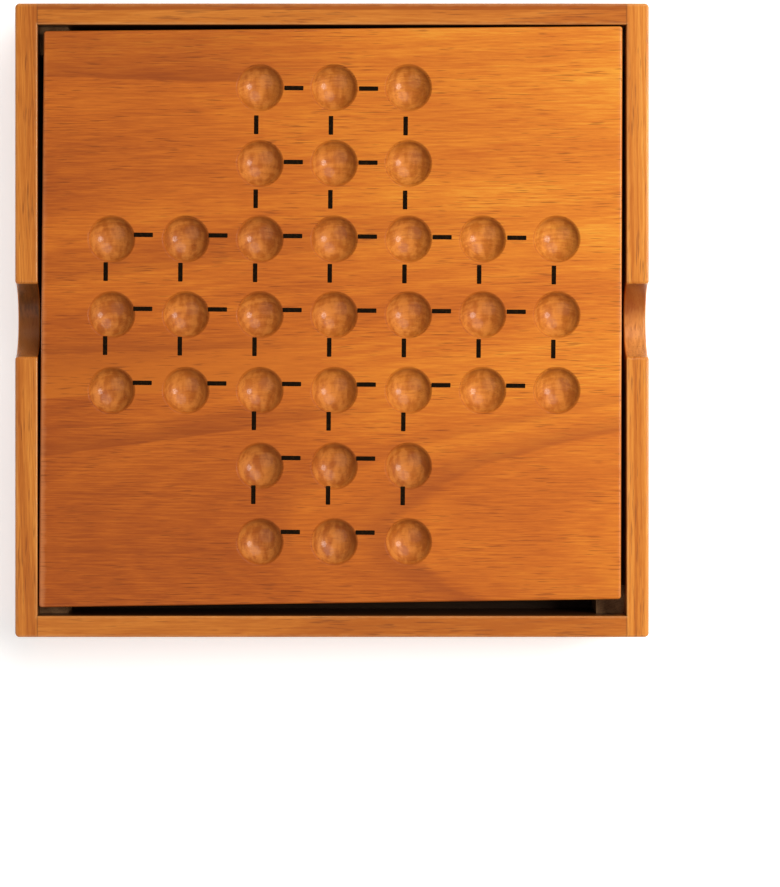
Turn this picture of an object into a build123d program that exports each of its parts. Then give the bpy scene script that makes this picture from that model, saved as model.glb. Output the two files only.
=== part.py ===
from build123d import *
from math import sqrt
import os

# Ball solitaire in a square wooden tray: a dimpled board lies loose over the stored balls.
# Millimetres, +Z up. The origin is the middle of the tray's underside.
# Seen from above, +X is the right-hand side and +Y is the back.

# Tray, outside sizes and wall thicknesses
tray_width = 170.0
tray_depth = 170.0
side_wall = 6.0
end_wall = 5.7
corner_round = 1.2
rim_outer_ease = 0.7
rim_inner_ease = 0.4
foot_ease = 0.5

# Finger notches, half round, in the left and right walls
notch_radius = 9.8
notch_mouth_ease = 0.9

# Floor panel, let into a rabbet in the walls' lower inside edges
floor_thickness = 3.0
floor_let_in = 3.0

# Corner blocks that carry the board
block_size = 7.5
block_ease = 0.4

# Balls, stored in rows on the floor
ball_diameter = 14.0
ball_rows = 4
balls_per_row = 8
ball_spacing = 0.3
ball_floor_gap = 0.2
ball_headroom = 1.6

# Board
board_thickness = 9.0
board_below_rim = 0.2
board_seat_gap = 0.3
board_corner_round = 0.8
board_edge_ease = 0.6

# The board is sawn slightly out of square, so its play differs from end to end of each wall.
play_left_back = 1.7
play_left_front = 0.35
play_right_back = 1.1
play_right_front = 1.5
play_back_left = 1.7
play_back_right = 0.4
play_front_left = 2.3
play_front_right = 4.5

# Dimples, the English cross: three middle rows and columns run the full seven
cross_count = 7
cross_arm = 3
pitch_x = 19.9
pitch_y = 20.3
dimple_depth = 3.65
dimple_clearance = 0.1
dimple_rim_ease = 0.2
dimples_right_of_middle = 0.7
dimples_behind_middle = 0.3

# Heights, worked out from the floor up
inner_width = tray_width - 2 * side_wall
inner_depth = tray_depth - 2 * end_wall
board_underside = floor_thickness + ball_floor_gap + ball_diameter + ball_headroom
board_top = board_underside + board_thickness
tray_height = board_top + board_below_rim
block_top = board_underside - board_seat_gap

os.makedirs("parts", exist_ok=True)


def save(piece, name):
    """Label a finished piece and write it to its own file."""
    piece.part.label = name
    export_step(piece.part, f"parts/{name}.step")


def upper_edges(faces):
    """The edges of upright faces that follow the rim and dip round the notches."""
    edges = ShapeList(edge for face in faces for edge in face.edges())
    return edges.filter_by(Axis.Z, reverse=True).filter_by(lambda edge: edge.center().Z > 0)


def upright_faces(solid):
    """The flat upright faces, left to right and then front to back, outer ones at the ends."""
    left_to_right = solid.faces().filter_by(Axis.X).sort_by(Axis.X)
    front_to_back = solid.faces().filter_by(Axis.Y).sort_by(Axis.Y)
    return left_to_right, front_to_back


# The four walls as one ring, with every edge eased as it is sanded after gluing
with BuildPart() as ring:
    with BuildSketch():
        RectangleRounded(tray_width, tray_depth, corner_round)
        Rectangle(inner_width, inner_depth, mode=Mode.SUBTRACT)
    extrude(amount=tray_height)
    with BuildSketch(Plane.YZ.offset(-tray_width)):
        with Locations((0, tray_height)):
            Circle(notch_radius)
    extrude(amount=2 * tray_width, mode=Mode.SUBTRACT)
    mouths = ring.edges().filter_by(Axis.X).filter_by_position(Axis.Y, -tray_depth / 4, tray_depth / 4)
    fillet(mouths, notch_mouth_ease)
    left_to_right, front_to_back = upright_faces(ring)
    outer_faces = [left_to_right[0], left_to_right[-1], front_to_back[0], front_to_back[-1]]
    fillet(upper_edges(outer_faces), rim_outer_ease)
    left_to_right, front_to_back = upright_faces(ring)
    fillet(upper_edges(left_to_right[1:-1] + front_to_back[1:-1]), rim_inner_ease)
    underside = ring.faces().sort_by(Axis.Z)[0]
    chamfer(underside.outer_wire().edges(), foot_ease)
    with BuildSketch():
        Rectangle(inner_width + 2 * floor_let_in, inner_depth + 2 * floor_let_in)
    extrude(amount=floor_thickness, mode=Mode.SUBTRACT)

# The side walls run the full depth, and the end walls fit between them.
wall_plans = {
    "wall_left": ((-tray_width / 2 + side_wall / 2, 0), (side_wall, tray_depth)),
    "wall_right": ((tray_width / 2 - side_wall / 2, 0), (side_wall, tray_depth)),
    "wall_back": ((0, tray_depth / 2 - end_wall / 2), (inner_width, end_wall)),
    "wall_front": ((0, -tray_depth / 2 + end_wall / 2), (inner_width, end_wall)),
}
for name, (middle, size) in wall_plans.items():
    with BuildPart() as wall:
        add(ring.part)
        with Locations((*middle, tray_height / 2)):
            Box(*size, tray_height, mode=Mode.INTERSECT)
    save(wall, name)

with BuildPart() as tray_floor:
    with BuildSketch():
        Rectangle(inner_width + 2 * floor_let_in, inner_depth + 2 * floor_let_in)
    extrude(amount=floor_thickness)
save(tray_floor, "tray_floor")

# One block in each corner, glued to both walls and standing on the floor
for side, side_name in ((-1, "left"), (1, "right")):
    for end, end_name in ((-1, "front"), (1, "back")):
        block_x = side * (inner_width - block_size) / 2
        block_y = end * (inner_depth - block_size) / 2
        with BuildPart() as block:
            with BuildSketch(Plane.XY.offset(floor_thickness)):
                with Locations((block_x, block_y)):
                    Rectangle(block_size, block_size)
            extrude(amount=block_top - floor_thickness)
            open_corner = block.edges().filter_by(Axis.Z).sort_by_distance((0, 0, block_top))[0]
            fillet(open_corner, block_ease)
        save(block, f"corner_block_{end_name}_{side_name}")

# Board outline: each corner is the tray's inner corner, less the play along both of its walls
board_corners = (
    (-inner_width / 2 + play_left_front, -inner_depth / 2 + play_front_left),
    (inner_width / 2 - play_right_front, -inner_depth / 2 + play_front_right),
    (inner_width / 2 - play_right_back, inner_depth / 2 - play_back_right),
    (-inner_width / 2 + play_left_back, inner_depth / 2 - play_back_left),
)
board_middle_x = sum(x for x, y in board_corners) / len(board_corners)
board_middle_y = sum(y for x, y in board_corners) / len(board_corners)

# A dimple is a cap of a sphere that fits the ball. Its mouth follows from its depth.
cutter_radius = ball_diameter / 2 + dimple_clearance
cutter_height = board_top + cutter_radius - dimple_depth
mouth_radius = sqrt(cutter_radius**2 - (cutter_radius - dimple_depth) ** 2)
middle = (cross_count - 1) / 2
arm_reach = (cross_arm - 1) / 2
dimple_centres = [
    (
        board_middle_x + dimples_right_of_middle + (column - middle) * pitch_x,
        board_middle_y + dimples_behind_middle + (row - middle) * pitch_y,
    )
    for column in range(cross_count)
    for row in range(cross_count)
    if abs(column - middle) <= arm_reach or abs(row - middle) <= arm_reach
]

with BuildPart() as game_board:
    with BuildSketch(Plane.XY.offset(board_underside)) as outline:
        with BuildLine():
            Polyline(*board_corners, close=True)
        make_face()
        fillet(outline.vertices(), board_corner_round)
    extrude(amount=board_thickness)
    fillet(game_board.edges().group_by(Axis.Z)[-1], board_edge_ease)
    chamfer(game_board.edges().group_by(Axis.Z)[0], board_edge_ease / 2)
    with Locations(*[(x, y, cutter_height) for x, y in dimple_centres]):
        Sphere(cutter_radius, mode=Mode.SUBTRACT)
    rims = game_board.edges().filter_by(GeomType.CIRCLE).group_by(Axis.Z)[-1]
    chamfer(rims, dimple_rim_ease)
save(game_board, "game_board")

# Rows run along X from the left wall, starting just behind the front corner blocks.
ball_pitch = ball_diameter + ball_spacing
first_ball_x = -inner_width / 2 + ball_spacing + ball_diameter / 2
first_ball_y = -inner_depth / 2 + block_size + ball_spacing + ball_diameter / 2
ball_z = floor_thickness + ball_floor_gap + ball_diameter / 2
for row in range(ball_rows):
    for place in range(balls_per_row):
        number = row * balls_per_row + place + 1
        with BuildPart() as ball:
            with Locations((first_ball_x + place * ball_pitch, first_ball_y + row * ball_pitch, ball_z)):
                Sphere(ball_diameter / 2)
        save(ball, f"ball_{number:02d}")

roll = inner_width - balls_per_row * ball_pitch - ball_spacing
print(f"tray height {tray_height:.2f}, board underside {board_underside:.2f}, top {board_top:.2f}")
print(f"dimples {len(dimple_centres)}, mouth {2 * mouth_radius:.2f}, depth {dimple_depth:.2f}")
print(f"free roll of a row of balls {roll:.2f}")
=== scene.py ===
from collections import namedtuple
from math import cos, radians, sin

import bpy
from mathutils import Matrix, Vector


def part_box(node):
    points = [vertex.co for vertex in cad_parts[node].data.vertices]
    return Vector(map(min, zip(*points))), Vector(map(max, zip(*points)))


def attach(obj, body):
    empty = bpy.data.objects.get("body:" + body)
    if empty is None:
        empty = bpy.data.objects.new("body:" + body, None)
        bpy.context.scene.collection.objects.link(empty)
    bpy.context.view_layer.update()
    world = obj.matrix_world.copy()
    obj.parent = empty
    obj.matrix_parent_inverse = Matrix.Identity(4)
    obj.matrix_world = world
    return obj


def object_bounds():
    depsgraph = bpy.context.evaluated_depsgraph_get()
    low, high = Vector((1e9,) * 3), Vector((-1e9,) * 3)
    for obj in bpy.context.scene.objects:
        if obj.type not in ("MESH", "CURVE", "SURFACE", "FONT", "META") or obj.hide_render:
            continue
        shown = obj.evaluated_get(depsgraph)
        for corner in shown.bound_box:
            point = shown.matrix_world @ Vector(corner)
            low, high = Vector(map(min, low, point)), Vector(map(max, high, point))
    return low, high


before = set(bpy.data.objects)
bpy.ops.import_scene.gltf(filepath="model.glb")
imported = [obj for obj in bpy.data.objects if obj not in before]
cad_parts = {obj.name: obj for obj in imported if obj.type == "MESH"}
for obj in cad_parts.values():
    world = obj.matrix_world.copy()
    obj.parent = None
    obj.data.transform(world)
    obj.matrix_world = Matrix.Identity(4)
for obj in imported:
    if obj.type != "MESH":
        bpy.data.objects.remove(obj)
cad_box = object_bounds()

MM = 0.001

# Photograph, in pixels: its scale at the rim, its middle, and the point straight below the lens
PHOTO_WIDTH = 780
PHOTO_HEIGHT = 887
PIXELS_PER_MM = 3.73
TRAY_MIDDLE_PX = (332.0, 320.3)
LENS_FOOT_PX = (331.0, 312.0)
LENS_HEIGHT = 950 * MM
SENSOR_MM = 36.0

# Printed dashes: the middle of their own grid, which is a little askew on the board, and stroke sizes
DASH_MIDDLE_PX = (329.5, 310.3)
DASH_PITCH_X = 20.03 * MM
DASH_PITCH_Y = 19.84 * MM
DASH_TURN = -0.45
DASH_LONG_X = 5.15 * MM
DASH_LONG_Y = 5.05 * MM
DASH_WIDE = 1.2 * MM
DASH_CORNER = 0.18 * MM
DASH_HIGH = 0.03 * MM
CROSS_COUNT = 7
CROSS_ARM = 3

# From the frame: the board's top, the rim and its outer faces, and the inner faces, between which
# the back wall lies
board_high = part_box("game_board")[1]
rim_low, rim_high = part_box("wall_left")
seam_low, seam_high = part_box("wall_back")
SIDE_WALL_MM = (seam_low.x - rim_low.x) / MM

# All finishes: how much the plain gloss and the coat show, and how high the fine relief is
PLAIN_GLOSS = 0.15
INK_GLOSS = 0.03
COAT_ROUGHNESS = 0.13
RELIEF_HIGH = 0.1 * MM

# Stage and light
STAGE_SIZE = 30
FLOOR_COLOUR = (0.90, 0.90, 0.90, 1.0)
FLOOR_GLOW = 0.42
ROOM_LIGHT = 0.16
WHITE = (1.0, 1.0, 1.0, 1.0)


def in_tray(pixel):
    """A point of the photograph's rim plane, in the tray's frame."""
    x = (pixel[0] - TRAY_MIDDLE_PX[0]) / PIXELS_PER_MM * MM
    y = (TRAY_MIDDLE_PX[1] - pixel[1]) / PIXELS_PER_MM * MM
    return x, y


# Small helpers that place one or a few shader nodes each and return their output

def feed(tree, socket, value):
    """Link a socket to an output, or set it to a constant."""
    if isinstance(value, bpy.types.NodeSocket):
        tree.links.new(value, socket)
    else:
        socket.default_value = value


def calc(tree, operation, first, second=0.0, clamp=False):
    node = tree.nodes.new("ShaderNodeMath")
    node.operation = operation
    node.use_clamp = clamp
    feed(tree, node.inputs[0], first)
    feed(tree, node.inputs[1], second)
    return node.outputs[0]


def plus(tree, first, *others):
    for other in others:
        first = calc(tree, "ADD", first, other)
    return first


def times(tree, first, *others):
    for other in others:
        first = calc(tree, "MULTIPLY", first, other)
    return first


def minus(tree, first, second):
    return calc(tree, "SUBTRACT", first, second)


def unsigned(tree, value):
    return calc(tree, "ABSOLUTE", value)


def in_mm(tree, value):
    return calc(tree, "DIVIDE", value, MM)


def swing(tree, value, amount):
    """A noise that runs from 0 to 1, made to swing either way by half the amount."""
    return times(tree, minus(tree, value, 0.5), amount)


def spread(tree, value, low, high, to_low=0.0, to_high=1.0):
    """Stretch a value from one range to another, smoothly and clamped."""
    node = tree.nodes.new("ShaderNodeMapRange")
    node.interpolation_type = "SMOOTHSTEP"
    feed(tree, node.inputs["Value"], value)
    feed(tree, node.inputs["From Min"], low)
    feed(tree, node.inputs["From Max"], high)
    feed(tree, node.inputs["To Min"], to_low)
    feed(tree, node.inputs["To Max"], to_high)
    return node.outputs["Result"]


def split(tree, vector):
    node = tree.nodes.new("ShaderNodeSeparateXYZ")
    feed(tree, node.inputs[0], vector)
    return node.outputs[0], node.outputs[1], node.outputs[2]


def join(tree, x, y, z):
    node = tree.nodes.new("ShaderNodeCombineXYZ")
    for socket, value in zip(node.inputs, (x, y, z)):
        feed(tree, socket, value)
    return node.outputs[0]


def noise(tree, vector, scale, detail=2.0, rough=0.5):
    node = tree.nodes.new("ShaderNodeTexNoise")
    feed(tree, node.inputs["Vector"], vector)
    feed(tree, node.inputs["Scale"], scale)
    feed(tree, node.inputs["Detail"], detail)
    feed(tree, node.inputs["Roughness"], rough)
    return node.outputs["Fac"]


def grain_noise(tree, place, stretch, scale, detail=2.0, rough=0.5):
    """Noise drawn out along the grain. The smaller the stretch value, the longer its streaks."""
    x, y, z = split(tree, place)
    return noise(tree, join(tree, times(tree, x, stretch), y, z), scale, detail, rough)


def line_noise(tree, value, scale, detail=1.0):
    """Noise along one number, for bands that follow it."""
    node = tree.nodes.new("ShaderNodeTexNoise")
    node.noise_dimensions = "1D"
    feed(tree, node.inputs["W"], value)
    feed(tree, node.inputs["Scale"], scale)
    feed(tree, node.inputs["Detail"], detail)
    return node.outputs["Fac"]


def opaque(colour):
    return (*colour, 1.0)


def blend_colour(tree, mask, first, second):
    node = tree.nodes.new("ShaderNodeMix")
    node.data_type = "RGBA"
    feed(tree, node.inputs["Factor"], mask)
    feed(tree, node.inputs["A"], first)
    feed(tree, node.inputs["B"], second)
    return node.outputs["Result"]


def colour_ramp(tree, value, shades):
    """The shades at even steps, from dark at 0 to light at 1."""
    node = tree.nodes.new("ShaderNodeValToRGB")
    ramp = node.color_ramp
    while len(ramp.elements) < len(shades):
        ramp.elements.new(0.5)
    for step, shade in enumerate(shades):
        ramp.elements[step].position = step / (len(shades) - 1)
        ramp.elements[step].color = opaque(shade)
    feed(tree, node.inputs["Fac"], value)
    return node.outputs["Color"]


def new_group(name, inputs, outputs):
    """An empty shader node group with named inputs and outputs."""
    tree = bpy.data.node_groups.new(name, "ShaderNodeTree")
    for label, kind, value in inputs:
        socket = tree.interface.new_socket(label, in_out="INPUT", socket_type=kind)
        if value is not None:
            socket.default_value = value
    for label in outputs:
        tree.interface.new_socket(label, in_out="OUTPUT", socket_type="NodeSocketFloat")
    start = tree.nodes.new("NodeGroupInput")
    end = tree.nodes.new("NodeGroupOutput")
    return tree, start.outputs, end.inputs


def use_group(tree, group, **values):
    node = tree.nodes.new("ShaderNodeGroup")
    node.node_tree = group
    for label, value in values.items():
        feed(tree, node.inputs[label.replace("_", " ")], value)
    return node.outputs


# Timber, cut from a log whose heart lies below the face and sinks or rises along the grain.
# Place is in millimetres, with the grain along X and the heart below along Z.

def ring_radius(tree, place, side, depth, slope):
    """How far a place lies from the heart of the log."""
    x, y, z = split(tree, place)
    across = minus(tree, y, side)
    below = plus(tree, z, depth, times(tree, x, slope))
    return calc(tree, "SQRT", plus(tree, times(tree, across, across), times(tree, below, below)))


def timber_figure():
    """Masks for soft bands, growth lines, fibres, open pores and broad patches."""
    tree, given, result = new_group(
        "timber_figure",
        (
            ("Place", "NodeSocketVector", None),
            ("Heart Side", "NodeSocketFloat", 0.0),
            ("Heart Depth", "NodeSocketFloat", 50.0),
            ("Heart Slope", "NodeSocketFloat", 0.0),
            ("Band", "NodeSocketFloat", 0.06),
            ("Wander", "NodeSocketFloat", 5.0),
        ),
        ("Bands", "Lines", "Fibres", "Pores", "Patches"),
    )
    place = given["Place"]
    radius = ring_radius(tree, place, given["Heart Side"], given["Heart Depth"], given["Heart Slope"])
    wander = swing(tree, grain_noise(tree, place, 0.25, 0.02), given["Wander"])
    ripple = swing(tree, grain_noise(tree, place, 0.2, 0.11), 2.2)
    radius = plus(tree, radius, wander, ripple)
    bands = line_noise(tree, radius, given["Band"], 3.0)
    feed(tree, result["Bands"], spread(tree, bands, 0.3, 0.7))
    lines = line_noise(tree, radius, times(tree, given["Band"], 7.0), 2.0)
    feed(tree, result["Lines"], spread(tree, lines, 0.35, 0.7))
    fibres = grain_noise(tree, place, 0.05, 1.9, 4.0, 0.7)
    feed(tree, result["Fibres"], spread(tree, fibres, 0.3, 0.7))
    pores = grain_noise(tree, place, 0.055, 2.7, 1.0)
    rare = spread(tree, grain_noise(tree, place, 0.3, 0.14), 0.35, 0.65, 0.67, 0.56)
    feed(tree, result["Pores"], calc(tree, "MULTIPLY", minus(tree, pores, rare), 8.0, clamp=True))
    patches = grain_noise(tree, place, 0.35, 0.035)
    feed(tree, result["Patches"], spread(tree, patches, 0.32, 0.68))
    return tree


def satin_surface():
    """Brushed varnish: a little dust and drag in the gloss, and a soft ripple in the surface."""
    tree, given, result = new_group(
        "satin_surface",
        (
            ("Place", "NodeSocketVector", None),
            ("Roughness", "NodeSocketFloat", 0.35),
            ("Pores", "NodeSocketFloat", 0.0),
            ("Fibres", "NodeSocketFloat", 0.0),
        ),
        ("Roughness", "Height"),
    )
    drag = grain_noise(tree, given["Place"], 0.1, 0.9, 3.0)
    dust = noise(tree, given["Place"], 2.4, 2.0)
    uneven = plus(tree, times(tree, drag, 0.14), times(tree, dust, 0.06), times(tree, given["Pores"], 0.2))
    feed(tree, result["Roughness"], plus(tree, given["Roughness"], uneven, -0.1))
    swell = noise(tree, given["Place"], 0.12, 2.0)
    height = plus(tree, times(tree, swell, 0.6), times(tree, drag, 0.2), times(tree, given["Fibres"], 0.1))
    feed(tree, result["Height"], minus(tree, height, times(tree, given["Pores"], 0.5)))
    return tree


def arris_wear_and_highlight():
    """Rubbed varnish and a painted highlight along an arris, as a mask from the distances in millimetres to
    its two faces.
    """
    tree, given, result = new_group(
        "arris_wear_and_highlight",
        (
            ("Place", "NodeSocketVector", None),
            ("First", "NodeSocketFloat", 1.0),
            ("Second", "NodeSocketFloat", 1.0),
            ("Reach", "NodeSocketFloat", 0.9),
        ),
        ("Wear_And_Highlight",),
    )
    first = times(tree, given["First"], given["First"])
    second = times(tree, given["Second"], given["Second"])
    away = calc(tree, "SQRT", plus(tree, first, second))
    rubbed = spread(tree, noise(tree, given["Place"], 0.35, 3.0), 0.3, 0.7, 0.7, 1.2)
    reach = times(tree, given["Reach"], rubbed)
    near = calc(tree, "SUBTRACT", 1.0, calc(tree, "DIVIDE", away, reach), clamp=True)
    feed(tree, result["Wear_And_Highlight"], spread(tree, near, 0.0, 1.0))
    return tree


TIMBER = timber_figure()
SATIN = satin_surface()
ARRIS_WEAR_AND_HIGHLIGHT = arris_wear_and_highlight()


def place_mm(tree, turn=(0, 0, 0), shift=(0, 0, 0)):
    """Object coordinates in millimetres, turned so that the grain runs along X, and as they are."""
    coordinates = tree.nodes.new("ShaderNodeTexCoord")
    mapping = tree.nodes.new("ShaderNodeMapping")
    tree.links.new(coordinates.outputs["Object"], mapping.inputs["Vector"])
    mapping.inputs["Scale"].default_value = (1 / MM, 1 / MM, 1 / MM)
    mapping.inputs["Rotation"].default_value = [radians(angle) for angle in turn]
    mapping.inputs["Location"].default_value = shift
    return mapping.outputs["Vector"], coordinates.outputs["Object"]


Mix = namedtuple("Mix", "bands lines patches fibres", defaults=(0.5, 0.2, 0.3, 0.34))
Heart = namedtuple("Heart", "side depth slope")


def timber(name, shades, dark, turn=(0, 0, 0), shift=(0, 0, 0), heart=Heart(0, 50, 0), band=0.06,
           wander=5.0, mix=Mix(), drift=(0.0, 0.0), lift=0.0, pores=0.5, rough=0.35, coat=0.5,
           bump=0.15, extra=None):
    """A wood finish: shades from dark to light bands, with lines, fibres and pores over them.

    Drift makes it lighter per millimetre to the right and to the back, and lift all over. Extra is
    a function that marks the colour further, and says where pores and the varnish coat show.
    """
    material = bpy.data.materials.new(name)
    material.use_nodes = True
    tree = material.node_tree
    surface = tree.nodes["Principled BSDF"]
    place, local = place_mm(tree, turn, shift)
    figure = use_group(tree, TIMBER, Place=place, Heart_Side=heart.side, Heart_Depth=heart.depth,
                       Heart_Slope=heart.slope, Band=band, Wander=wander)
    tone = plus(tree, times(tree, figure["Bands"], mix.bands), times(tree, figure["Lines"], mix.lines))
    tone = plus(tree, tone, times(tree, figure["Patches"], mix.patches))
    tone = plus(tree, tone, swing(tree, figure["Fibres"], mix.fibres))
    x, y, z = split(tree, local)
    tone = plus(tree, tone, times(tree, x, drift[0] / MM), times(tree, y, drift[1] / MM), lift)
    colour = colour_ramp(tree, tone, shades)
    if extra:
        colour, shown, coated = extra(tree, colour, local, place)
        pores = times(tree, shown, pores)
        coat = times(tree, coated, coat)
    colour = blend_colour(tree, times(tree, figure["Pores"], pores), colour, opaque(dark))
    feed(tree, surface.inputs["Base Color"], colour)
    finish = use_group(tree, SATIN, Place=place, Roughness=rough, Pores=figure["Pores"],
                       Fibres=figure["Fibres"])
    feed(tree, surface.inputs["Roughness"], finish["Roughness"])
    relief = tree.nodes.new("ShaderNodeBump")
    relief.inputs["Strength"].default_value = bump
    relief.inputs["Distance"].default_value = RELIEF_HIGH
    feed(tree, relief.inputs["Height"], finish["Height"])
    feed(tree, surface.inputs["Normal"], relief.outputs["Normal"])
    feed(tree, surface.inputs["Coat Weight"], coat)
    surface.inputs["Coat Roughness"].default_value = COAT_ROUGHNESS
    surface.inputs["Specular IOR Level"].default_value = PLAIN_GLOSS
    return material


# The board's figure, in millimetres: the heart of its log lies under the front right and rises
# along the grain. A darker growth ring starts sharply at its radius and fades outwards over its
# soft width. On the left the rings show as nearly straight streaks, and one of them is pale. A
# streak crosses the tray's middle line at its own Y, with its own slope. It starts sharply there,
# and fades backwards over its soft width, from its full strength to what stays, and along X from one
# place to another. The last streak lies on the right.
BOARD_HEART = Heart(-57.0, 50.4, -0.148)
Ring = namedtuple("Ring", "radius soft strength")
Streak = namedtuple("Streak", "y slope soft strength stays fade_from fade_to")
DARK_RINGS = (
    Ring(52.5, 2.0, 0.20),
    Ring(48.0, 2.6, 0.50),
)
PALE_STREAK = Streak(-17.0, 0.05, 20.0, 0.80, 0.0, -25.0, 10.0)
DARK_STREAKS = (
    Streak(63.2, -0.03, 3.0, 0.65, 0.38, -42.0, 14.0),
    Streak(19.1, 0.12, 12.0, 0.26, 0.0, -20.0, 60.0),
    Streak(-6.8, 0.028, 3.0, 0.42, 0.0, -30.0, 5.0),
    Streak(-24.3, 0.066, 1.4, 0.35, 0.0, -30.0, 15.0),
    Streak(-26.2, 0.13, 7.0, 0.60, 0.0, -30.0, 25.0),
    Streak(-48.6, -0.03, 1.0, 0.30, 0.0, -34.0, -18.0),
    Streak(-62.4, 0.0, 2.2, 0.35, 0.0, -42.0, -16.0),
    Streak(-80.0, 0.0, 30.0, 0.18, 0.0, 50.0, 10.0),
)
RING_SHARP = 0.5
RING_COLOUR = opaque((0.27, 0.055, 0.008))
STREAK_COLOUR = opaque((0.21, 0.036, 0.005))
PALE_COLOUR = opaque((0.52, 0.135, 0.012))

# Dimples: fresh wood cut open in them, painted shade where they are steep, mostly on their back and
# right sides, and a painted shade line along the rim. They all lie within the distances given from the
# tray's middle, on a grid with its own middle and pitch.
CUT_DARK = opaque((0.25, 0.075, 0.012))
CUT_LIGHT = opaque((0.62, 0.25, 0.050))
DIMPLE_PAINTED_SHADE = opaque((0.20, 0.045, 0.008))
RIM_PAINTED_SHADE = opaque((0.22, 0.055, 0.010))
DIMPLE_DEEPEST = 3.8 * MM
DIMPLES_WITHIN = (75 * MM, 72 * MM)
DIMPLE_MIDDLE = (0.56 * MM, 1.48 * MM)
DIMPLE_PITCH = (19.9 * MM, 20.3 * MM)
BOARD_EDGE_WEAR_AND_HIGHLIGHT = opaque((0.70, 0.30, 0.12))

# Walls: glue lines at their ends, arrises with rubbed wear and a painted highlight, painted shade on
# the inner faces, and how far the finger notches reach to each side of the middle
SEAM_COLOUR = opaque((0.15, 0.045, 0.012))
SEAM_WIDE = 0.3 * MM
OUTER_EDGE_WEAR_AND_HIGHLIGHT = opaque((0.75, 0.36, 0.11))
INNER_EDGE_PAINTED_HIGHLIGHT = opaque((0.72, 0.42, 0.15))
INNER_FACE_PAINTED_SHADE = opaque((0.025, 0.012, 0.006))
NOTCH_STAIN = opaque((0.22, 0.06, 0.015))
NOTCH_REACH_MM = 10.2


def streak_mask(tree, streak, x, wavering_y):
    """How strongly a streak shows."""
    past = plus(tree, wavering_y, times(tree, x, -streak.slope), -streak.y)
    starts = spread(tree, past, -0.35, 0.1)
    above = streak.strength - streak.stays
    softens = plus(tree, streak.stays, spread(tree, past, 0.0, streak.soft, above, 0.0))
    fades = spread(tree, x, streak.fade_from, streak.fade_to, 1.0, 0.0)
    return times(tree, starts, softens, fades)


def darken_rings(tree, colour, place, waver, radius):
    """The growth rings and streaks of the photographed board."""
    x, y, z = split(tree, place)
    streaks = spread(tree, grain_noise(tree, place, 0.05, 0.7, 3.0), 0.3, 0.7, 0.6, 1.0)
    for ring in DARK_RINGS:
        starts = spread(tree, radius, ring.radius - RING_SHARP, ring.radius)
        softens = spread(tree, radius, ring.radius, ring.radius + ring.soft, ring.strength, 0.0)
        colour = blend_colour(tree, times(tree, starts, softens, streaks), colour, RING_COLOUR)
    wavering_y = plus(tree, y, times(tree, z, 0.4), swing(tree, waver, 1.6))
    pale = streak_mask(tree, PALE_STREAK, x, wavering_y)
    colour = blend_colour(tree, pale, colour, PALE_COLOUR)
    for streak in DARK_STREAKS:
        dark = times(tree, streak_mask(tree, streak, x, wavering_y), streaks)
        colour = blend_colour(tree, dark, colour, STREAK_COLOUR)
    return colour


def from_dimple_middle(tree, value, axis):
    """Distance along one axis from the middle of the nearest dimple, in millimetres."""
    steps = calc(tree, "DIVIDE", minus(tree, value, DIMPLE_MIDDLE[axis]), DIMPLE_PITCH[axis])
    return times(tree, minus(tree, steps, calc(tree, "ROUND", steps)), DIMPLE_PITCH[axis] / MM)


def cut_dimples(tree, colour, place, local, radius, near_dimples):
    """Fresh wood in the dimples and painted shade on their steep back and right sides, with the mask that
    says where they are.
    """
    x, y, z = split(tree, place)
    own_x, own_y, own_z = split(tree, local)
    inside = spread(tree, own_z, board_high.z - 0.9 * MM, board_high.z - 0.1 * MM, 1.0, 0.0)
    deepest = board_high.z - DIMPLE_DEEPEST
    above = spread(tree, own_z, deepest - 0.1 * MM, deepest + 0.1 * MM)
    dimple = times(tree, inside, above, near_dimples)
    contour = line_noise(tree, radius, 0.9, 2.0)
    torn = noise(tree, join(tree, x, times(tree, y, 0.3), z), 0.55, 3.0)
    fresh = plus(tree, times(tree, contour, 0.25), times(tree, torn, 0.75))
    cut = blend_colour(tree, spread(tree, fresh, 0.38, 0.62), CUT_DARK, CUT_LIGHT)
    colour = blend_colour(tree, times(tree, dimple, 0.45), colour, cut)
    # Painted shade: darker where the dimple is steep, most on its back and right sides, least at the front
    # left
    steep = spread(tree, minus(tree, board_high.z, own_z), 0.2 * MM, 2.6 * MM, 1.0, 0.0)
    to_right = from_dimple_middle(tree, own_x, 0)
    to_back = from_dimple_middle(tree, own_y, 1)
    back_right_shade = spread(tree, plus(tree, to_right, times(tree, to_back, 1.3)), -6.0, 8.0, 0.10, 0.66)
    return blend_colour(tree, times(tree, dimple, steep, back_right_shade), colour, DIMPLE_PAINTED_SHADE), dimple


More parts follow.
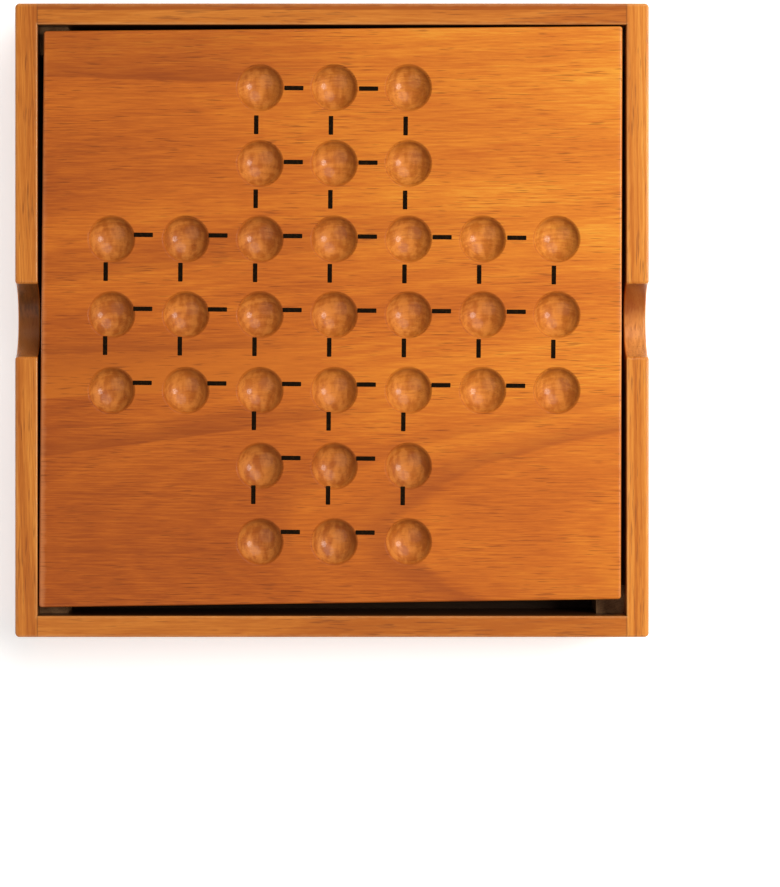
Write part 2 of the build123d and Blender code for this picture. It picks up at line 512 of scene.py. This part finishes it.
def board_look(tree, colour, local, place):
    """The board's dark rings, its dimples with painted shade on their rims and steep sides, and its left
    and right edges made lighter as rubbed wear and a painted highlight.
    """
    own_x, own_y, own_z = split(tree, local)
    from_top = in_mm(tree, minus(tree, board_high.z, own_z))
    waver = grain_noise(tree, place, 0.3, 0.09, 3.0)
    radius = plus(tree, ring_radius(tree, place, *BOARD_HEART), swing(tree, waver, 2.0))
    colour = darken_rings(tree, colour, place, waver, radius)
    within_x = calc(tree, "LESS_THAN", unsigned(tree, own_x), DIMPLES_WITHIN[0])
    within_y = calc(tree, "LESS_THAN", unsigned(tree, own_y), DIMPLES_WITHIN[1])
    near_dimples = times(tree, within_x, within_y)
    colour, dimple = cut_dimples(tree, colour, place, local, radius, near_dimples)
    from_side = minus(tree, in_mm(tree, board_high.x), unsigned(tree, in_mm(tree, own_x)))
    # The left and right edges made lighter, as rubbed wear and a painted highlight
    worn_and_highlit = use_group(tree, ARRIS_WEAR_AND_HIGHLIGHT, Place=place, First=from_side, Second=from_top, Reach=1.6)
    rubbed = times(tree, worn_and_highlit["Wear_And_Highlight"], 0.3)
    colour = blend_colour(tree, rubbed, colour, BOARD_EDGE_WEAR_AND_HIGHLIGHT)
    # A painted shade line along each dimple's chamfered rim, where the varnish coat is also left off
    rim = times(tree, spread(tree, from_top, 0.005, 0.03), spread(tree, from_top, 0.24, 0.32, 1.0, 0.0))
    rim = times(tree, rim, near_dimples)
    colour = blend_colour(tree, times(tree, rim, 0.3), colour, RIM_PAINTED_SHADE)
    shown = minus(tree, 1.0, times(tree, dimple, 0.6))
    return colour, shown, minus(tree, 1.0, rim)


def below_rim(tree, local):
    """Distance in millimetres below the rim."""
    x, y, z = split(tree, local)
    return in_mm(tree, minus(tree, rim_high.z, z))


def in_from_outside(tree, local):
    """Distance in millimetres in from the tray's nearest outer face."""
    x, y, z = split(tree, local)
    from_side = minus(tree, -rim_low.x, unsigned(tree, x))
    from_end = minus(tree, rim_high.y, unsigned(tree, y))
    return in_mm(tree, calc(tree, "MINIMUM", from_side, from_end))


def out_from_inside(tree, local):
    """Distance in millimetres out from the tray's inner faces, into the wall."""
    x, y, z = split(tree, local)
    past_side = minus(tree, unsigned(tree, x), seam_high.x)
    past_end = minus(tree, unsigned(tree, y), seam_low.y)
    return in_mm(tree, calc(tree, "MAXIMUM", past_side, past_end))


def wall_look(tree, colour, local, place):
    """Glue lines at the wall ends, outer arrises lighter as rubbed wear and a painted highlight, inner
    arrises lighter as a painted highlight, and painted shade down the inner faces, less so on the right.
    """
    x, y, z = split(tree, local)
    away = unsigned(tree, minus(tree, unsigned(tree, x), seam_high.x))
    past_inner = calc(tree, "GREATER_THAN", unsigned(tree, y), seam_low.y - 0.2 * MM)
    seam = times(tree, spread(tree, away, 0.02 * MM, SEAM_WIDE, 0.55, 0.0), past_inner)
    colour = blend_colour(tree, seam, colour, SEAM_COLOUR)
    from_top = below_rim(tree, local)
    outside = in_from_outside(tree, local)
    # The outer arris made lighter, as rubbed wear and a painted highlight
    worn_and_highlit = use_group(tree, ARRIS_WEAR_AND_HIGHLIGHT, Place=place, First=from_top, Second=outside, Reach=1.1)
    colour = blend_colour(tree, times(tree, worn_and_highlit["Wear_And_Highlight"], 0.3), colour, OUTER_EDGE_WEAR_AND_HIGHLIGHT)
    inside = out_from_inside(tree, local)
    # The inner arris made lighter, as a painted highlight
    worn_and_highlit = use_group(tree, ARRIS_WEAR_AND_HIGHLIGHT, Place=place, First=from_top, Second=inside, Reach=1.0)
    colour = blend_colour(tree, times(tree, worn_and_highlit["Wear_And_Highlight"], 0.2), colour, INNER_EDGE_PAINTED_HIGHLIGHT)
    # Painted shade down the inner faces below the rim, weaker on the right wall
    inner_face_shade = times(tree, spread(tree, inside, 0.02, 0.12, 0.85, 0.0), spread(tree, from_top, 0.5, 2.0))
    inner_face_shade = times(tree, inner_face_shade, spread(tree, x, seam_high.x - 4 * MM, seam_high.x, 1.0, 0.15))
    return blend_colour(tree, inner_face_shade, colour, INNER_FACE_PAINTED_SHADE), 1.0, 1.0


def notched_look(back_shade, front_shade, strength):
    """A side wall whose finger notch, cut across the grain, goes from its back shade to its front shade,
    with torn streaks.
    """
    def look(tree, colour, local, place):
        colour, shown, coated = wall_look(tree, colour, local, place)
        x, y, z = split(tree, local)
        y = in_mm(tree, y)
        from_top = below_rim(tree, local)
        outside = in_from_outside(tree, local)
        near = spread(tree, unsigned(tree, y), NOTCH_REACH_MM, NOTCH_REACH_MM + 0.4, 1.0, 0.0)
        deep = times(tree, spread(tree, from_top, 0.6, 1.6), spread(tree, outside, 0.1, 0.5))
        within = spread(tree, outside, SIDE_WALL_MM - 0.4, SIDE_WALL_MM - 0.05, 1.0, 0.0)
        notch = times(tree, near, deep, within)
        torn = noise(tree, join(tree, times(tree, y, 0.3), outside, 0.0), 1.1, 3.0)
        uneven = plus(tree, y, swing(tree, torn, 9.0))
        shade = blend_colour(tree, spread(tree, uneven, -1.0, 4.0), opaque(front_shade), opaque(back_shade))
        deep_stain = spread(tree, torn, 0.35, 0.65, 0.45, 0.0)
        shade = blend_colour(tree, deep_stain, shade, NOTCH_STAIN)
        colour = blend_colour(tree, times(tree, notch, strength), colour, shade)
        return colour, shown, minus(tree, 1.0, times(tree, notch, 0.7))
    return look


def back_wall_look(tree, colour, local, place):
    """The back wall's outer edge is cut from a darker growth ring."""
    x, y, z = split(tree, local)
    from_back = in_mm(tree, minus(tree, rim_high.y, y))
    along = times(tree, in_mm(tree, x), 0.2)
    ring_width = plus(tree, 1.2, noise(tree, join(tree, along, 0.0, 0.0), 0.2, 3.0))
    dark = spread(tree, minus(tree, ring_width, from_back), -0.25, 0.1, 0.0, 0.7)
    colour = blend_colour(tree, dark, colour, RING_COLOUR)
    return wall_look(tree, colour, local, place)


# Shades are base colours from the darkest wood to the lightest
BOARD_SHADES = (
    (0.27, 0.050, 0.006),
    (0.38, 0.082, 0.008),
    (0.51, 0.124, 0.011),
    (0.63, 0.190, 0.016),
    (0.72, 0.305, 0.030),
)
WALL_SHADES = ((0.39, 0.100, 0.013), (0.50, 0.150, 0.020), (0.60, 0.205, 0.031), (0.71, 0.285, 0.050))
BLOCK_SHADES = ((0.20, 0.10, 0.042), (0.30, 0.155, 0.070), (0.39, 0.215, 0.10))
# The floor ply's shades are very dark, as painted shade for the gaps round the board
PLY_SHADES_DARK_AS_PAINTED_SHADE = ((0.030, 0.016, 0.008), (0.045, 0.022, 0.010), (0.065, 0.032, 0.014))
BALL_SHADES = ((0.50, 0.23, 0.075), (0.63, 0.33, 0.125), (0.73, 0.43, 0.19))
VARNISH_PORE = (0.14, 0.030, 0.005)

board_finish = timber(
    "board_varnish", BOARD_SHADES, VARNISH_PORE, shift=(0, 0, -board_high.z / MM), heart=BOARD_HEART,
    band=0.075, wander=4.0, mix=Mix(0.165, 0.075, 0.20, 0.27), drift=(0.0025, 0.0015), lift=0.285,
    pores=0.52, rough=0.5, coat=0.22, bump=0.25, extra=board_look,
)


def wall_finish(name, **grain):
    return timber(name, WALL_SHADES, VARNISH_PORE, wander=6.0, pores=0.5, coat=0.3, bump=0.25, **grain)


# Each notch's shade towards the back, its shade towards the front, and how much they show. The left
# notch's dark shades are painted shade, where the board shadows it; the right notch is darker
# towards the back.
LEFT_NOTCH_PAINTED_SHADE = ((0.038, 0.017, 0.007), (0.22, 0.080, 0.024), 0.76)
RIGHT_NOTCH = ((0.24, 0.060, 0.014), (0.62, 0.26, 0.068), 0.75)

SIDE_MIX = Mix(0.45, 0.28, 0.2)
END_MIX = Mix(0.42, 0.2, 0.2)
wall_finishes = {
    "wall_left": wall_finish(
        "left_wall_varnish", turn=(0, 0, 90), shift=(0, -60, 0), heart=Heart(40, 60, 0.09), band=0.22,
        mix=SIDE_MIX, drift=(0.0012, 0.0), extra=notched_look(*LEFT_NOTCH_PAINTED_SHADE),
    ),
    "wall_right": wall_finish(
        "right_wall_varnish", turn=(0, 0, 90), shift=(0, 31, 0), heart=Heart(-35, 52, -0.02), band=0.22,
        mix=SIDE_MIX, drift=(0.0012, 0.0), extra=notched_look(*RIGHT_NOTCH),
    ),
    "wall_back": wall_finish(
        "back_wall_varnish", shift=(23, -71, 0), heart=Heart(30, 45, 0.02), band=0.16, mix=END_MIX,
        extra=back_wall_look,
    ),
    "wall_front": wall_finish(
        "front_wall_varnish", shift=(-41, 66, 0), heart=Heart(-28, 50, -0.03), band=0.16, mix=END_MIX,
        lift=-0.06, extra=wall_look,
    ),
}
block_finish = timber(
    "bare_block_wood", BLOCK_SHADES, (0.08, 0.03, 0.012), turn=(0, 90, 0), heart=Heart(20, 30, 0),
    band=0.25, rough=0.6, coat=0.0, bump=0.35,
)
floor_finish = timber(
    "floor_ply", PLY_SHADES_DARK_AS_PAINTED_SHADE, (0.015, 0.007, 0.004), heart=Heart(15, 120, -0.2), band=0.09, wander=20.0,
    pores=0.4, rough=0.55, coat=0.0, bump=0.3,
)
ball_finish = timber(
    "ball_wood", BALL_SHADES, (0.30, 0.12, 0.04), turn=(20, 35, 50), heart=Heart(5, 60, 0.1), band=0.2,
    pores=0.35, rough=0.35, coat=0.3, bump=0.15,
)


def finish_node(name, material):
    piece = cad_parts[name]
    piece.data.materials.clear()
    piece.data.materials.append(material)


finish_node("game_board", board_finish)
finish_node("tray_floor", floor_finish)
for name, material in wall_finishes.items():
    finish_node(name, material)
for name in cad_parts:
    if name.startswith("corner_block"):
        finish_node(name, block_finish)
    elif name.startswith("ball_"):
        finish_node(name, ball_finish)


# Printed dashes

def ink():
    """Black ink, thin in places."""
    material = bpy.data.materials.new("dash_ink")
    material.use_nodes = True
    tree = material.node_tree
    surface = tree.nodes["Principled BSDF"]
    place, local = place_mm(tree)
    thin = spread(tree, noise(tree, place, 1.6, 3.0), 0.45, 0.8)
    colour = blend_colour(tree, thin, opaque((0.006, 0.003, 0.001)), opaque((0.020, 0.009, 0.002)))
    feed(tree, surface.inputs["Base Color"], colour)
    rough = spread(tree, noise(tree, place, 3.0, 2.0), 0.3, 0.7, 0.5, 0.7)
    feed(tree, surface.inputs["Roughness"], rough)
    surface.inputs["Specular IOR Level"].default_value = INK_GLOSS
    return material


def one_dash(long_x, long_y):
    """A flat stroke with rounded corners and a printed thickness, at the origin."""
    bpy.ops.mesh.primitive_plane_add(size=1, location=(0, 0, 0))
    stroke = bpy.context.object
    stroke.scale = (long_x, long_y, 1)
    bpy.ops.object.transform_apply(location=True, rotation=True, scale=True)
    bpy.ops.object.mode_set(mode="EDIT")
    bpy.ops.mesh.select_all(action="SELECT")
    bpy.ops.mesh.bevel(offset=DASH_CORNER, segments=3, affect="VERTICES")
    bpy.ops.mesh.select_all(action="SELECT")
    bpy.ops.mesh.extrude_region_move(TRANSFORM_OT_translate={"value": (0, 0, DASH_HIGH)})
    bpy.ops.mesh.select_all(action="SELECT")
    bpy.ops.mesh.normals_make_consistent(inside=False)
    bpy.ops.object.mode_set(mode="OBJECT")
    return stroke


def in_cross(column, row):
    middle = (CROSS_COUNT - 1) / 2
    reach = (CROSS_ARM - 1) / 2
    inside = 0 <= column < CROSS_COUNT and 0 <= row < CROSS_COUNT
    return inside and (abs(column - middle) <= reach or abs(row - middle) <= reach)


def place_dash(model, column, row):
    """A copy of the stroke at a place of the dashes' own grid, which has halves between seats."""
    centre_x, centre_y = in_tray(DASH_MIDDLE_PX)
    middle = (CROSS_COUNT - 1) / 2
    across = (column - middle) * DASH_PITCH_X
    along = (row - middle) * DASH_PITCH_Y
    turn = radians(DASH_TURN)
    stroke = model.copy()
    stroke.data = model.data.copy()
    stroke.location.x = centre_x + across * cos(turn) - along * sin(turn)
    stroke.location.y = centre_y + across * sin(turn) + along * cos(turn)
    stroke.location.z = board_high.z
    stroke.rotation_euler = (0, 0, turn)
    bpy.context.scene.collection.objects.link(stroke)
    return stroke


def print_dashes():
    """A dash between every two neighbouring seats of the cross, as one printed layer."""
    bpy.ops.object.select_all(action="DESELECT")
    flat = one_dash(DASH_LONG_X, DASH_WIDE)
    upright = one_dash(DASH_WIDE, DASH_LONG_Y)
    strokes = []
    for column in range(CROSS_COUNT):
        for row in range(CROSS_COUNT):
            for model, step_x, step_y in ((flat, 1, 0), (upright, 0, 1)):
                if in_cross(column, row) and in_cross(column + step_x, row + step_y):
                    strokes.append(place_dash(model, column + step_x / 2, row + step_y / 2))
    bpy.data.objects.remove(flat)
    bpy.data.objects.remove(upright)
    bpy.ops.object.select_all(action="DESELECT")
    for stroke in strokes:
        stroke.select_set(True)
    bpy.context.view_layer.objects.active = strokes[0]
    bpy.ops.object.join()
    layer = bpy.context.object
    layer.name = "dash_print"
    bpy.ops.object.transform_apply(location=True, rotation=True, scale=True)
    layer.data.materials.clear()
    layer.data.materials.append(ink())
    bpy.ops.object.select_all(action="DESELECT")
    return layer


dashes = print_dashes()
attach(dashes, "board")


# Stage, lights and camera

def pale_floor():
    """A plain white floor that glows a little, so that the tray's shadow on it stays light."""
    bpy.ops.object.select_all(action="DESELECT")
    bpy.ops.mesh.primitive_plane_add(size=STAGE_SIZE, location=(0, 0, 0))
    stage = bpy.context.object
    stage.name = "stage_floor"
    material = bpy.data.materials.new("pale_floor")
    material.use_nodes = True
    surface = material.node_tree.nodes["Principled BSDF"]
    surface.inputs["Base Color"].default_value = FLOOR_COLOUR
    surface.inputs["Roughness"].default_value = 0.8
    surface.inputs["Specular IOR Level"].default_value = 0.1
    surface.inputs["Emission Color"].default_value = WHITE
    surface.inputs["Emission Strength"].default_value = FLOOR_GLOW
    stage.data.materials.append(material)
    bpy.ops.object.select_all(action="DESELECT")


def soft_light(name, bearing, height, distance, size, power, colour):
    """A round light aimed at the tray. The bearing is anticlockwise from +X, seen from above."""
    lamp = bpy.data.lights.new(name, "AREA")
    lamp.shape = "DISK"
    lamp.size = size
    lamp.energy = power
    lamp.color = colour
    holder = bpy.data.objects.new(name, lamp)
    bpy.context.scene.collection.objects.link(holder)
    holder.location.x = distance * cos(radians(height)) * cos(radians(bearing))
    holder.location.y = distance * cos(radians(height)) * sin(radians(bearing))
    holder.location.z = distance * sin(radians(height))
    holder.rotation_euler = (-holder.location).to_track_quat("-Z", "Y").to_euler()


def even_light(name, bearing, height, spread_angle, strength, colour):
    """A far, soft light that falls evenly on the tray and on the floor all round it."""
    lamp = bpy.data.lights.new(name, "SUN")
    lamp.angle = radians(spread_angle)
    lamp.energy = strength
    lamp.color = colour
    holder = bpy.data.objects.new(name, lamp)
    bpy.context.scene.collection.objects.link(holder)
    holder.rotation_euler = (0, radians(90 - height), radians(bearing))


def dim_room():
    """A little plain light from all round."""
    world = bpy.data.worlds.new("studio")
    world.use_nodes = True
    background = world.node_tree.nodes["Background"]
    background.inputs["Color"].default_value = WHITE
    background.inputs["Strength"].default_value = ROOM_LIGHT
    bpy.context.scene.world = world


def overhead_camera():
    """Straight down over the photograph's lens point, with the frame shifted to the photograph's."""
    camera_data = bpy.data.cameras.new("camera")
    camera = bpy.data.objects.new("camera", camera_data)
    bpy.context.scene.collection.objects.link(camera)
    foot_x, foot_y = in_tray(LENS_FOOT_PX)
    camera.location = (foot_x, foot_y, cad_box[1][2] + LENS_HEIGHT)
    camera_data.sensor_width = SENSOR_MM
    camera_data.lens = SENSOR_MM * PIXELS_PER_MM * LENS_HEIGHT / MM / PHOTO_HEIGHT
    camera_data.shift_x = (PHOTO_WIDTH / 2 - LENS_FOOT_PX[0]) / PHOTO_HEIGHT
    camera_data.shift_y = (LENS_FOOT_PX[1] - PHOTO_HEIGHT / 2) / PHOTO_HEIGHT
    bpy.context.scene.camera = camera


pale_floor()
soft_light("key", bearing=3, height=45, distance=0.62, size=0.25, power=2.75, colour=(1.0, 0.97, 0.92))
even_light("back_fill", bearing=60, height=45, spread_angle=45, strength=1.55, colour=(1.0, 0.98, 0.95))
even_light("front_fill", bearing=225, height=50, spread_angle=60, strength=0.9, colour=(1.0, 0.99, 0.97))
dim_room()
overhead_camera()

# Plain colours: the base colours above come out of the render as they are
bpy.context.scene.view_settings.view_transform = "Standard"
